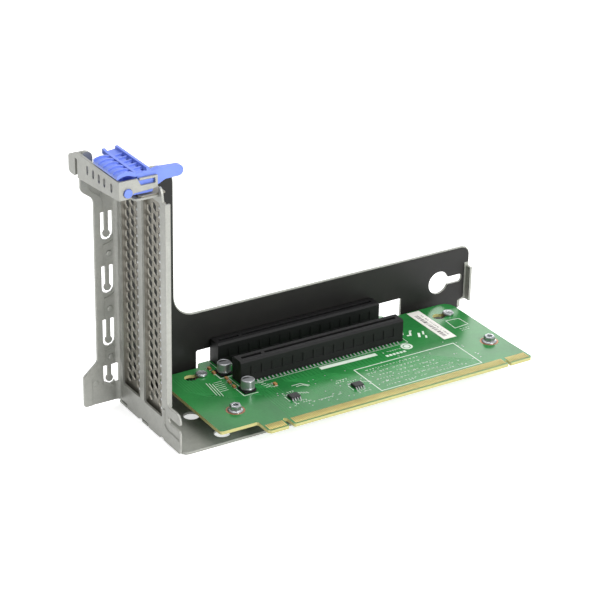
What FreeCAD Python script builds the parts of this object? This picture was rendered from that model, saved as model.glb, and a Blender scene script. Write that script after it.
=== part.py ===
import FreeCAD, Part
import math
import os

# Riser card assembly for a rack server: a folded steel carrier holds a riser board with two
# card connectors, an end frame with two ventilated slot covers, and a hinged retention latch.
# Lengths are millimetres. X runs along the board, away from the end frame. Y runs from the
# board's edge contacts to the back wall. Z is up. The parts are worked out from the datum
# X = 0 at the end frame's outer face, Y = 0 on the front connector's centre line and Z = 0
# under the base, and are written about the middle of the footprint.

# sheet thicknesses and general clearances
base_sheet = 1.2
end_sheet = 1.0
cover_sheet = 0.8
film_sheet = 0.25
seat_gap = 0.05
flat_radius = 1.3
facet_radius = 6.0

# base of the carrier
base_front = -32.8
base_left = 0.0
base_right = 178.0
base_corner = 3.0
base_step_x = 145.0
base_step_front = -27.6
base_hole_radius = 3.65
base_holes = [(20.5, -4.6), (24.4, -25.2)]

# back wall and tall arm of the carrier
wall_face = 24.6
wall_top = 35.1
wall_right = 191.3
wall_corner = 4.0
arm_left = 1.4
arm_right = 28.0
arm_top = 110.5
arm_corner = 9.0
arm_fillet = 11.0
window_left = 39.2
window_right = 152.1
window_top = 16.0
window_bottom = 4.0
window_corner = 0.6
keyhole_x = 173.8
keyhole_z = 18.9
keyhole_radius = 5.8
keyhole_neck = 4.2
keyhole_end = 187.4
wall_foot_right = 187.3
wall_foot_top = 6.7
stop_tab_top = 24.5
stop_tab_reach = 3.2
fold_radius = 1.1

# end frame: slotted plate facing -X, flange plate facing -Y
plate_face = 24.1
plate_top = 115.6
plate_sill = 11.1
slot_pitch = 20.32
slot_left = 21.5
slot_width = 16.6
slot_top = 112.0
return_front = -20.0
return_width = 2.5
return_bottom = 17.5
return_top = 112.7
wing_front = -31.5
wing_top = 18.7
jaw_back = -20.8
jaw_low = 11.1
jaw_high = 14.1
foot_edge = -17.9
foot_top = 17.0
flange_edge = -11.0
flange_bottom = 2.2
lobe_edge = -17.1
rim_width = 4.0
rim_height = 0.35
spring_x = -5.1
spring_tops = [20.4, 43.3, 69.1, 94.7]
spring_length = 13.5
spring_short = 9.6
spring_pad = 1.75
spring_ring = 3.0
spring_stem = 1.9
spring_sides = 10
clinch_x = -4.2
clinch_heights = [24.3, 48.1, 74.7, 104.2]
clinch_radius = 1.5
ear_width = 6.0
ear_reach = 9.0
ear_left = -16.8
ear_right = -10.9
ear_rise = 8.3
ear_round = 2.8
shelf_reach = 11.2

# latch bracket and its hook
bracket_wall = -18.2
bracket_near = -14.0
bracket_lift = 0.4
bracket_rise = 8.7
bracket_sheet = 1.0
hook_reach = 32.7
hook_drop = 2.7
hook_nose_rise = 5.4
hook_slot = 2.0
hook_slot_near = 24.2
hook_bridge = 3.0
bracket_holes = [14.6, 9.2, 4.0, -0.9, -7.3]
bracket_hole_lift = 2.0
bracket_hole_rise = 6.0
bracket_hole_half = 0.9
bracket_bar = 1.1
bracket_sill = 0.9

# retention latch
hinge_x = -14.1
hinge_rise = 3.2
pin_radius = 1.9
pin_sides = 24
bore_room = 0.12
pin_proud = 0.7
latch_near = -12.7
latch_far = 15.6
latch_gap = 0.35
finger_radius = 7.2
finger_count = 5
finger_pitch = 4.35
finger_rib = 0.9
finger_flats = 4
shell_wall = 1.3
ridge_height = 1.7
ridge_width = 1.3
lever_thick = 2.6
lever_end = 12.8
lever_rise = 10.5
lever_depth = 4.8
cheek_thick = 1.6

# slot covers
cover_recess = 2.4
cover_left = 21.5
cover_web = 13.5
cover_lip = 1.4
cover_flange = 5.0
cover_bottom = 8.0
tongue_low = 3.2
tab_reach = 9.0
tab_near = -14.3
cell_radius = 2.3
cell_pitch = 4.95
cell_column = 4.29
cell_start = 14.6
cell_end = 109.5

# riser board
board_thick = 1.57
standoff_height = 6.8
board_left = 16.8
board_right = 177.0
board_back = 20.0
board_front = -37.4
finger_left = 35.4
finger_tip = -47.0
finger_right = 177.5
rear_tab_left = 39.6
rear_tab_right = 140.5
rear_tab_depth = 3.8
notch_left = 45.8
notch_width = 2.4
notch_depth = 7.0
slit_left = 163.7
slit_width = 1.3
slit_depth = 3.6
contact_pitch = 1.0
contact_width = 0.7
contact_length = 4.9
contact_inset = 0.7
contact_thick = 0.06

# board fixings
screw_spots = [(32.3, -23.2), (169.4, -23.9)]
stud_spots = [(35.6, 13.0), (169.3, 9.4)]
keyway_offset = 5.6
keyway_radius = 2.9
keyway_slot = 1.9
screw_radius = 1.45
screw_head = 2.75
screw_flange = 3.7
stud_head = 2.7

# card connectors
connector_left = 46.3
connector_right = 134.1
connector_width = 7.5
connector_base = 0.6
connector_height = 11.2
card_slot = 1.8
card_slot_depth = 8.2
card_slot_margin = 2.4
key_position = 60.0
key_width = 1.75
pocket_pitch = 5.5
pocket_gap = 1.1
pocket_low = 3.6
pocket_high = 8.0
pocket_depth = 0.4
tail_pitch = 2.0
tail_count = 42
tail_width = 0.5
tail_reach = 0.75
tail_height = 0.55

# small parts on the board
can_radius = 3.15
can_height = 5.6
can_base = 0.9
can_rim = 0.4
can_sides = 20
can_spots = [(46.6, -9.6), (45.6, 9.9)]
chip_spots = [(60.7, -26.1), (91.0, -31.1)]
chip_length = 4.9
chip_width = 3.9
chip_height = 1.5
chip_lift = 0.15
lead_reach = 1.05
lead_pitch = 1.27
lead_width = 0.4
passive_spots = [(41.6, 16.4), (43.6, 4.1), (42.9, 0.1), (42.6, -4.3), (59.8, -11.4), (41.3, 11.8)]
passive_size = (2.0, 1.25, 0.85)
label_box = (152.0, -12.2, 7.0, 31.4)
label_thick = 0.1

# values worked out from the sizes above
wall_back = wall_face + base_sheet
film_face = wall_face - seat_gap - film_sheet
plate_back = plate_face + end_sheet
board_under = base_sheet + standoff_height
board_top = board_under + board_thick
connector_rows = [0.0, slot_pitch]
cover_face = end_sheet + seat_gap
bracket_inner = bracket_wall + bracket_sheet
hinge_z = plate_top + hinge_rise
ear_top = plate_top + ear_rise
bracket_low = plate_top + bracket_lift
bracket_high = plate_top + bracket_rise
hook_low = plate_top - hook_drop
hook_nose = plate_top + hook_nose_rise
hook_slot_top = bracket_high - hook_bridge
lever_top = plate_top + lever_rise
lever_low = lever_top - lever_depth
footprint_x = (bracket_wall + wall_right) / 2
footprint_y = (finger_tip + hook_reach) / 2

PLANES = {
    "XY": (lambda u, v, w: FreeCAD.Vector(u, v, w)),
    "XZ": (lambda u, v, w: FreeCAD.Vector(u, w, v)),
    "YZ": (lambda u, v, w: FreeCAD.Vector(w, u, v)),
}


def corner_run(before, here, after, radius):
    """Points that turn one corner, and whether they stand for a true arc."""
    back = before.sub(here).normalize()
    ahead = after.sub(here).normalize()
    half = back.getAngle(ahead) / 2
    centre = here.add(back.add(ahead).normalize().multiply(radius / math.sin(half)))
    first = here.add(FreeCAD.Vector(back).multiply(radius / math.tan(half))).sub(centre)
    turn = 180.0 - 2 * math.degrees(half)
    if back.cross(ahead).z > 0:
        turn = -turn
    steps = 2
    if radius <= flat_radius:
        steps = 1
    elif radius <= facet_radius:
        steps = 3
    run = []
    for k in range(steps + 1):
        spin = FreeCAD.Rotation(FreeCAD.Vector(0, 0, 1), turn * k / steps)
        run.append(centre.add(spin.multVec(first)))
    return run, radius > facet_radius


def outline(plane, corners, level=0.0):
    """Closed wire through corners given as (u, v) or (u, v, corner radius)."""
    place = PLANES[plane]
    count = len(corners)
    points = [FreeCAD.Vector(c[0], c[1], 0) for c in corners]
    runs = []
    for i, corner in enumerate(corners):
        if len(corner) > 2 and corner[2] > 0:
            runs.append(corner_run(points[i - 1], points[i], points[(i + 1) % count], corner[2]))
        else:
            runs.append(([points[i]], False))
    edges = []
    for i, (run, is_arc) in enumerate(runs):
        spots = [place(p.x, p.y, level) for p in run]
        if is_arc:
            edges.append(Part.Arc(*spots).toShape())
        else:
            edges += [Part.makeLine(a, b) for a, b in zip(spots, spots[1:])]
        after = runs[(i + 1) % count][0][0]
        after = place(after.x, after.y, level)
        if spots[-1].distanceToPoint(after) > 1e-6:
            edges.append(Part.makeLine(spots[-1], after))
    return Part.Wire(edges)


def round_wire(plane, u, v, radius, level=0.0):
    """Circle in a plane, as a wire."""
    place = PLANES[plane]
    normal = place(0, 0, 1)
    return Part.Wire([Part.makeCircle(radius, place(u, v, level), normal)])


def slab(plane, corners, low, high, holes=()):
    """Flat piece between two levels, with its outline and its holes cut in one face."""
    outer = corners if isinstance(corners, Part.Wire) else outline(plane, corners)
    face = Part.makeFace([outer] + list(holes), "Part::FaceMakerBullseye")
    place = PLANES[plane]
    face.translate(place(0, 0, low))
    return face.extrude(place(0, 0, high - low))


def box(low, high):
    """Block between two opposite corners."""
    size = [b - a for a, b in zip(low, high)]
    return Part.makeBox(*size, FreeCAD.Vector(*low))


def rod(plane, u, v, radius, low, high):
    """Round bar along a plane's normal."""
    place = PLANES[plane]
    return Part.makeCylinder(radius, high - low, place(u, v, low), place(0, 0, 1))


def ring_points(u, v, radius, sides, turn=0.0):
    """Corners of a regular polygon, turned by an angle in degrees."""
    angles = [math.radians(turn + 360.0 * k / sides) for k in range(sides)]
    return [(u + radius * math.cos(a), v + radius * math.sin(a)) for a in angles]


def prism(plane, u, v, radius, sides, low, high, turn=0.0):
    """Many-sided bar along a plane's normal."""
    return slab(plane, ring_points(u, v, radius, sides, turn), low, high)


def mitred(points, half):
    """Outline of a band of even width along a line of points."""
    sides = []
    for sign in (1, -1):
        side = []
        for i, (u, v) in enumerate(points):
            before = points[max(i - 1, 0)]
            after = points[min(i + 1, len(points) - 1)]
            normals = []
            for a, b in ((before, (u, v)), ((u, v), after)):
                length = math.hypot(b[0] - a[0], b[1] - a[1])
                if length > 0:
                    normals.append(((a[1] - b[1]) / length, (b[0] - a[0]) / length))
            mean = [sum(n[k] for n in normals) / len(normals) for k in (0, 1)]
            square = mean[0] ** 2 + mean[1] ** 2
            side.append((u + sign * half * mean[0] / square, v + sign * half * mean[1] / square))
        sides.append(side)
    return sides[0] + sides[1][::-1]


def write(name, shape):
    """One node, moved to the middle of the footprint."""
    moved = shape.copy()
    moved.translate(FreeCAD.Vector(-footprint_x, -footprint_y, 0))
    moved.exportStep("parts/" + name + ".step")


def carrier_base():
    """Floor of the carrier, up to the fold where the back wall stands on it."""
    notch = end_sheet + seat_gap
    return slab("XY", [
        (base_left, wall_face), (base_left, 18.0), (notch, 18.0), (notch, 3.4),
        (base_left, 3.4), (base_left, -1.7), (notch, -1.7), (notch, base_front, base_corner),
        (base_step_x, base_front, 1.0), (base_step_x + 5.0, base_step_front, 1.0),
        (base_right, base_step_front, 2.0), (base_right, wall_face),
    ], 0, base_sheet, [round_wire("XY", x, y, base_hole_radius) for x, y in base_holes])


def keyhole_neck_cut(low, high):
    """Narrow end of the keyhole."""
    half = keyhole_neck / 2
    return slab("XZ", [
        (keyhole_x, keyhole_z - half), (keyhole_end, keyhole_z - half, 1.5),
        (keyhole_end, keyhole_z + half, 1.5), (keyhole_x, keyhole_z + half),
    ], low, high)


def riser_bracket():
    """Back wall and tall arm of the carrier, from the fold up."""
    deep = (wall_face - 1, wall_back + 1)
    keyhole = rod("XZ", keyhole_x, keyhole_z, keyhole_radius, *deep)
    window = slab("XZ", [
        (window_left, window_bottom, window_corner), (window_right, window_bottom, window_corner),
        (window_right, window_top, window_corner), (window_left, window_top, window_corner),
    ], *deep)
    wall = slab("XZ", [
        (arm_left, 0), (base_right, 0), (base_right, 2.6), (wall_foot_right, 2.6, 1.0),
        (wall_foot_right, wall_foot_top), (wall_right, wall_foot_top),
        (wall_right, wall_top, wall_corner), (arm_right, wall_top, arm_fillet),
        (arm_right, arm_top, arm_corner), (arm_left, arm_top),
    ], wall_face, wall_back)
    wall = wall.cut([keyhole, keyhole_neck_cut(*deep), window])
    pieces = [box((wall_right - base_sheet, wall_face - stop_tab_reach, wall_foot_top),
                  (wall_right, wall_face + 0.5, stop_tab_top))]
    for height in clinch_heights:
        low = height - ear_width / 2
        high = height + ear_width / 2
        pieces.append(slab("XZ", [
            (-ear_reach, low, 1.2), (arm_left + 2.0, low), (arm_left + 2.0, high), (-ear_reach, high, 1.2),
        ], plate_back, plate_back + base_sheet))
    fold = slab("YZ", [(wall_back - fold_radius, 0), (wall_back, 0), (wall_back, fold_radius)],
                arm_left - 1, base_right + 1)
    sheet = wall.fuse(pieces).cut(fold).removeSplitter()
    # one sheet, written as flats that meet above, below and beside the window
    seams = [-ear_reach - 1, window_left, window_right, wall_right + 1]
    flats = []
    for left, right in zip(seams, seams[1:]):
        span = box((left, wall_face - stop_tab_reach, 0), (right, wall_back + 1, arm_top))
        flats += sheet.common(span).Solids
    return Part.makeCompound(flats)


def insulator_film():
    """Black film on the inner face of the wall and the arm."""
    margin = 0.4
    keyhole = prism("XZ", keyhole_x, keyhole_z, keyhole_radius + 0.1, 20, film_face - 1, wall_face)
    neck = keyhole_neck_cut(film_face - 1, wall_face)
    window = slab("XZ", [
        (window_left, window_bottom - 5, 0), (window_right, window_bottom - 5, 0),
        (window_right, window_top, window_corner), (window_left, window_top, window_corner),
    ], film_face - 1, wall_face)
    edge = wall_right - base_sheet - 1.3
    sheet = slab("XZ", [
        (arm_left, base_sheet + margin), (wall_foot_right - 1.8, base_sheet + margin),
        (wall_foot_right - 1.8, wall_foot_top), (edge, wall_foot_top + 1.5), (edge, stop_tab_top + 2),
        (wall_right - margin, stop_tab_top + 2), (wall_right - margin, wall_top - margin, wall_corner),
        (arm_right - margin, wall_top - margin, arm_fillet),
        (arm_right - margin, arm_top - margin, arm_corner), (arm_left, arm_top - margin),
    ], film_face, film_face + film_sheet)
    return sheet.cut(keyhole.fuse(neck).fuse(window))


def flange_outline(inset=0.0):
    """Outline of the end frame's flange plate, from the bend outward."""
    return [
        (end_sheet, flange_bottom + inset), (foot_edge + inset, flange_bottom + inset, 0.6),
        (foot_edge + inset, foot_top - inset / 2, 1.0), (flange_edge + inset, foot_top + 6.2, 2.5),
        (flange_edge + inset, plate_top - 14.0, 4.0), (lobe_edge + inset, plate_top - 9.4, 3.0),
        (lobe_edge + inset, hinge_z + 0.5, 2.0),
    ]


def spring_cut(top, length):
    """U-shaped slot that frees one grounding spring, with a round end."""
    centre = top - length + spring_ring
    half = spring_stem / 2
    deep = (plate_face - 2, plate_back + 2)
    ring = prism("XZ", spring_x, centre, spring_ring, spring_sides, *deep, 180.0 / spring_sides)
    legs = box((spring_x - spring_ring, deep[0], centre), (spring_x + spring_ring, deep[1], top))
    stem = box((spring_x - half, deep[0], centre), (spring_x + half, deep[1], top + 1))
    pad = prism("XZ", spring_x, centre, spring_pad, spring_sides, *deep, 180.0 / spring_sides)
    return ring.fuse(legs).cut(stem.fuse(pad))


def end_frame():
    """Slotted end plate with its flange plate, wing, return and shelf, folded from one sheet."""
    above = hinge_z + 20.0
    inside = plate_face - 2.1
    shelf_top = plate_top - end_sheet
    bend = slab("XY", [
        (foot_edge - 1, plate_face), (0, plate_face, 2.0), (0, return_front), (end_sheet, return_front),
        (end_sheet, plate_back, 3.0), (foot_edge - 1, plate_back),
    ], -1, above)
    flange = slab("XZ", flange_outline() + [
        (ear_left, hinge_z + 0.8), (ear_left, ear_top, ear_round), (ear_right, ear_top, ear_round),
        (ear_right, shelf_top, 1.5), (end_sheet, shelf_top),
    ], plate_face - 4, plate_back + 4)
    slot_wires = []
    for row in connector_rows:
        left = slot_left - slot_pitch + row
        slot_wires.append(outline("YZ", [
            (left, plate_sill, 0.8), (left, slot_top, 0.8), (left - slot_width, slot_top, 0.8),
            (left - slot_width, plate_sill, 0.8),
        ]))
    side = slab("YZ", [
        (inside, flange_bottom), (17.6, flange_bottom), (17.6, 0, 0.5), (6.4, 0, 0.5),
        (4.2, 1.7, 0.5), (-2.3, 1.7), (-2.3, 0, 0.5), (-13.0, 0, 0.5), (-15.6, 1.6, 0.5),
        (-17.0, 0.3), (wing_front, 0.3, 0.8), (wing_front, jaw_low, 1.0), (jaw_back, jaw_low, 1.4),
        (jaw_back, jaw_high, 1.4), (wing_front, jaw_high, 0.5), (wing_front, wing_top, 3.0),
        (return_front, wing_top, 2.0), (return_front, return_top),
        (return_front + 2.6, return_top), (return_front + 3.2, bracket_low + 0.6, 1.0),
        (bracket_near - 1.4, bracket_low + 3.0, 0.8), (bracket_near - 0.4, bracket_low + 3.0),
        (bracket_near - 0.4, plate_top), (inside, plate_top),
    ], 0, end_sheet, slot_wires)
    corner = bend.common(flange.fuse(box((-3, inside - 1, flange_bottom), (3, plate_back, shelf_top))))
    corner = corner.common(box((foot_edge - 2, inside, -1), (end_sheet, plate_back, above)))
    front_return = slab("XY", [
        (0, return_front, 0.9), (return_width, return_front), (return_width, return_front + end_sheet),
        (0, return_front + end_sheet),
    ], return_bottom, return_top)
    shelf = slab("XY", [
        (-shelf_reach, bracket_near - 0.5, 2.0), (0.5, bracket_near - 0.5),
        (0.5, plate_face - 2.0), (-shelf_reach, plate_face - 2.0, 2.0),
    ], shelf_top, plate_top)
    body = side.fuse([corner, front_return, shelf])
    # raised rim along the flange plate's outer edge
    outer = flange_outline()[:-1] + [(lobe_edge, shelf_top), (end_sheet, shelf_top)]
    inner = flange_outline(rim_width)[2:-1] + [
        (lobe_edge + rim_width, above), (end_sheet + 9, above), (end_sheet + 9, -5),
        (foot_edge + rim_width, -5),
    ]
    rim = slab("XZ", outer, plate_face - rim_height, plate_face + 0.2)
    rim = rim.cut(slab("XZ", inner, plate_face - 2, plate_face + 2))
    body = body.fuse(rim.common(flange))
    cuts = [spring_cut(top, spring_short if top == spring_tops[0] else spring_length) for top in spring_tops]
    cuts.append(box((-2.6, plate_face - 2, 11.2), (-0.7, plate_back + 2, 20.6)))
    bore = pin_radius + bore_room
    cuts.append(prism("XZ", hinge_x, hinge_z, bore, pin_sides, plate_face - 2, plate_back + 2))
    body = body.cut(cuts)
    # clinch spots that hold the frame to the arm's ears, and a pressed bead across the wing
    for height in clinch_heights:
        body = body.fuse(prism("XZ", clinch_x, height, clinch_radius, 6, plate_face - 0.4, plate_face + 0.2))
    bead = [(-17.3, 16.0), (-17.6, 8.6), (-21.0, 6.7), (wing_front + 1.2, 6.6)]
    rings = [outline("YZ", mitred(bead, 0.8), 0.1), outline("YZ", mitred(bead, 0.35), -0.5)]
    return body.fuse(Part.makeLoft(rings, True, True)).removeSplitter()


def latch_bracket():
    """Folded bracket round the latch: outer wall, near plate and the hook past the flange."""
    back_near = plate_back + seat_gap
    bore_wire = outline("XZ", ring_points(hinge_x, hinge_z, pin_radius + bore_room, pin_sides))
    holes = []
    hole_low = plate_top + bracket_hole_lift
    hole_high = plate_top + bracket_hole_rise
    for y in bracket_holes:
        left = y - bracket_hole_half
        right = y + bracket_hole_half
        holes.append(outline("YZ", [
            (left, hole_low, 0.6), (left, hole_high, 0.6), (right, hole_high, 0.6), (right, hole_low, 0.6),
        ]))
    slot_far = hook_slot_near + hook_slot
    wall = slab("YZ", [
        (bracket_near, bracket_low, 0.8), (hook_slot_near, bracket_low - 3.2),
        (hook_slot_near, hook_slot_top),
        (slot_far, hook_slot_top), (slot_far, hook_low, 0.8), (hook_reach, hook_low, 1.2),
        (hook_reach, hook_nose, 1.2), (slot_far, bracket_high - 0.4), (hook_slot_near, bracket_high),
        (bracket_near, bracket_high, 0.6),
    ], bracket_wall, bracket_inner, holes)
    right = -seat_gap
    bar = bracket_bar
    near = slab("XZ", [
        (bracket_wall, bracket_low), (hinge_x + 0.5, bracket_low, 2.2),
        (hinge_x + 3.0, bracket_low + 2.2, 0.8),
        (right, bracket_low + 2.8), (right, bracket_high), (right - bar, bracket_high),
        (right - bar, bracket_low + 5.0, 0.4), (hinge_x + 6.2, bracket_low + 5.0, 0.4),
        (hinge_x + 4.6, bracket_high), (bracket_wall, bracket_high),
    ], bracket_near, bracket_near + bracket_sheet, [bore_wire])
    back = slab("XZ", [
        (bracket_wall, hook_slot_top), (ear_left, hook_slot_top), (ear_left, bracket_low - 0.6, 1.0),
        (ear_right, bracket_low - 0.6, 1.0), (ear_right, ear_top, ear_round), (ear_left, ear_top),
        (bracket_wall, ear_top - 1.5),
    ], back_near, back_near + bracket_sheet, [bore_wire])
    sill = box((right - bar - 7.4, bracket_near, bracket_high - bracket_sill),
               (right, bracket_near + bracket_sheet, bracket_high))
    return wall.fuse([near, back, sill]).removeSplitter()


def arc_band(inner, outer, start, finish, low, high):
    """Curved strip about the hinge, angles in degrees from +X towards +Z."""
    angles = [math.radians(start + (finish - start) * k / finger_flats) for k in range(finger_flats + 1)]
    points = [(hinge_x + inner * math.cos(a), hinge_z + inner * math.sin(a)) for a in angles]
    points += [(hinge_x + outer * math.cos(a), hinge_z + outer * math.sin(a)) for a in angles[::-1]]
    return slab("XZ", points, low, high)


def retention_latch():
    """Moulded latch: pin, cheeks, clamp foot, ribbed cover and lever, in one piece."""
    pin_end = plate_back + seat_gap + bracket_sheet
    pin = prism("XZ", hinge_x, hinge_z, pin_radius, pin_sides, bracket_near - pin_proud, pin_end)
    foot_low = plate_top + seat_gap + cover_sheet + latch_gap
    shell_left = finger_radius + shell_wall
    crest = hinge_z + shell_left
    ridge_one = hinge_x + 4.1
    ridge_two = hinge_x + 10.2
    fingers_far = latch_near + finger_count * finger_pitch
    cheek = [
        (hinge_x - 0.6, hinge_z - 1.8), (ridge_two + 2.0, foot_low), (ridge_two + 2.6, foot_low + 4.0),
        (ridge_two + 1.5, crest - 0.8), (hinge_x + 6.8, crest - 1.0), (hinge_x + 1.6, hinge_z + 1.3),
    ]
    cheeks = []
    middle = (latch_near + latch_far - cheek_thick) / 2
    for start in (latch_near, middle, latch_far - cheek_thick):
        cheeks.append(slab("XZ", cheek, start, start + cheek_thick))
    foot = slab("XZ", [
        (hinge_x + 5.0, foot_low), (ridge_two, foot_low), (ridge_two, foot_low + 1.5),
        (hinge_x + 5.0, foot_low + 1.5),
    ], latch_near, latch_far)
    # cover: fingers concentric with the hinge, then a floor between the two ridges
    shell = arc_band(finger_radius, finger_radius + shell_wall - 0.3, 68, 124, latch_near, fingers_far)
    root = slab("XZ", [
        (hinge_x + 2.0, crest - 0.9), (ridge_one, crest - 1.3), (ridge_one, crest - 2.5),
        (hinge_x + 2.4, crest - 1.8),
    ], latch_near, fingers_far)
    floor = slab("XZ", [
        (ridge_one, crest - 1.3), (ridge_two + 0.5, crest - 0.6), (ridge_two + 3.0, crest - 2.6),
        (ridge_two + 3.0, crest - 3.7), (ridge_two + 1.5, crest - 2.4), (ridge_one, crest - 2.5),
    ], latch_near, latch_far)
    pieces = cheeks + [foot, shell, root, floor]
    for i in range(finger_count + 1):
        at = min(max(latch_near + i * finger_pitch - finger_rib / 2, latch_near), fingers_far - finger_rib)
        pieces.append(arc_band(finger_radius + 0.2, shell_left + 0.4, 62, 126, at, at + finger_rib))
        if i:
            pieces.append(slab("XZ", [
                (ridge_one, crest - 2.4), (ridge_two, crest - 1.6), (ridge_two, crest - 0.1),
                (ridge_one, crest - 0.7),
            ], at, at + finger_rib))
    for x, height, tip in ((ridge_one, crest - 0.2, 0.6), (ridge_two, crest + 0.6, 0.0)):
        half = ridge_width / 2
        pieces.append(box((x - half, latch_near, height - ridge_height), (x + half, latch_far, height)))
        pieces.append(slab("YZ", [
            (latch_far - 5.0, height - 0.3), (latch_far, height - 1.6), (latch_far, height + tip),
            (latch_far - 0.8, height + tip),
        ], x - half, x + half))
    body = pin.fuse(pieces)
    gaps = []
    for i in range(finger_count):
        start = latch_near + i * finger_pitch + 1.1
        for x in (ridge_one - ridge_width / 2 - 1.5, ridge_two - ridge_width / 2 - 1.5):
            gaps.append(box((x, start, crest - 3.6), (x + 1.3, start + finger_pitch - 2.2, crest + 2)))
    beyond = box((bracket_wall - 9.0, latch_near - 1, hinge_z),
                 (bracket_wall + seat_gap, latch_far + 1, crest + 5))
    body = body.cut(gaps + [beyond])
    lever = slab("XZ", [
        (ridge_two - 1.0, crest - 3.6), (ridge_two + 3.2, crest - 7.6, 1.0), (0.7, lever_low - 1.9, 0.8),
        (4.2, lever_low - 0.1, 3.0), (lever_end, lever_low, 2.3), (lever_end, lever_top, 2.3),
        (1.7, lever_top + 0.6, 1.5),
        (ridge_two + 1.2, crest - 1.4, 0.6),
    ], latch_near, latch_near + lever_thick)
    return body.fuse(lever).removeSplitter()


def slot_cover(row):
    """Ventilated cover for one card slot: folded channel with its top tab."""
    left = cover_left - slot_pitch + row
    right = left - cover_web
    step = cover_sheet
    near = tab_near + row
    top = plate_top + seat_gap + step
    web_low = cell_start - 2.8
    section = [
        (cover_face, left + cover_lip), (cover_face, left), (cover_recess, left),
        (cover_recess, right), (cover_face, right), (cover_face, right - cover_flange),
        (cover_face + step, right - cover_flange), (cover_face + step, right - step),
        (cover_recess + step, right - step), (cover_recess + step, left + step),
        (cover_face + step, left + step), (cover_face + step, left + cover_lip),
    ]
    cells = []
    for column in range(3):
        y = left - 2.4 - column * cell_column
        z = cell_start + (cell_pitch / 2 if column == 1 else 0.0)
        while z < cell_end - cell_pitch / 2:
            cells.append(outline("YZ", ring_points(y, z, cell_radius, 6, 30.0)))
            z += cell_pitch
    web = slab("YZ", [(left, web_low), (left, slot_top), (right, slot_top), (right, web_low)],
               cover_recess, cover_recess + step, cells)
    space = box((cover_recess, right, web_low), (cover_recess + step, left, slot_top))
    reliefs = [
        box((0, right - cover_flange - 1, plate_top - 3.0), (9, right - 0.2, plate_top + 5)),
        box((0, left + 0.01, plate_top - 3.0), (9, left + 4, plate_top + 5)),
    ]
    channel = slab("XY", section, cover_bottom, top - step).cut([space] + reliefs)
    tongue = slab("YZ", [
        (left - 1.0, cover_bottom + 0.01), (right + 1.0, cover_bottom + 0.01),
        (right + 3.0, tongue_low, 1.0), (left - 3.0, tongue_low, 1.0),
    ], cover_face, cover_face + step)
    bridge = box((cover_face, right + 1.0, cover_bottom),
                 (cover_recess + step, left - 1.0, cover_bottom + step))
    tab = slab("XY", [
        (-tab_reach, near, 1.2), (cover_recess + step, near),
        (cover_recess + step, left), (-tab_reach, left, 1.2),
    ], top - step, top)
    # one sheet, written as channel and tab that meet at the fold
    return Part.makeCompound([channel.fuse([web, tongue, bridge]).removeSplitter(), tab])


def board_keyway(spot):
    """Keyway that lets the board slide under a stud's head."""
    x, y = spot
    deep = (board_under - 1, board_top + 1)
    wide = prism("XY", x - keyway_offset, y, keyway_radius, 14, *deep)
    narrow = box((x - keyway_offset, y - keyway_slot, deep[0]), (x, y + keyway_slot, deep[1]))
    end = prism("XY", x, y, keyway_slot, 12, *deep)
    return wide.fuse([narrow, end])


def riser_board():
    """Printed board with its edge tongue, keying notches, keyways and screw holes."""
    screw_holes = [outline("XY", ring_points(x, y, screw_radius + 0.2, 12)) for x, y in screw_spots]
    body = slab("XY", [
        (board_left, board_back, 1.0), (board_left, board_front, 1.5), (finger_left, board_front, 0.8),
        (finger_left, finger_tip, 1.2), (notch_left, finger_tip, 0.6),
        (notch_left, finger_tip + notch_depth, 1.15),
        (notch_left + notch_width, finger_tip + notch_depth, 1.15),
        (notch_left + notch_width, finger_tip, 0.6), (slit_left, finger_tip, 0.3),
        (slit_left, finger_tip + slit_depth, 0.6), (slit_left + slit_width, finger_tip + slit_depth, 0.6),
        (slit_left + slit_width, finger_tip, 0.3), (finger_right, finger_tip, 1.2), (board_right, -30.0),
        (board_right, board_back, 5.0), (rear_tab_right, board_back),
        (rear_tab_right, board_back + rear_tab_depth, 1.0),
        (rear_tab_left, board_back + rear_tab_depth, 1.5), (rear_tab_left - 1.4, board_back),
    ], board_under, board_top, screw_holes)
    for spot in stud_spots:
        body = body.cut(board_keyway(spot))
    return body


def contact_starts():
    """Left ends of the edge contacts, leaving out the keying notches."""
    starts = []
    x = finger_left + 1.0
    while x + contact_width < finger_right - 0.6:
        clear = x + contact_width < notch_left - 0.3 or x > notch_left + notch_width + 0.3
        clear = clear and (x + contact_width < slit_left - 0.2 or x > slit_left + slit_width + 0.2)
        if clear:
            starts.append(x)
        x += contact_pitch
    return starts


def edge_contacts(level):
    """Row of plated contacts on the board's edge tongue, thinning toward the tip."""
    low = finger_tip + contact_inset
    high = low + contact_length
    return Part.makeCompound([
        slab("YZ", [(low, level), (high, level), (high, level + contact_thick)], x, x + contact_width)
        for x in contact_starts()
    ])


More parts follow.
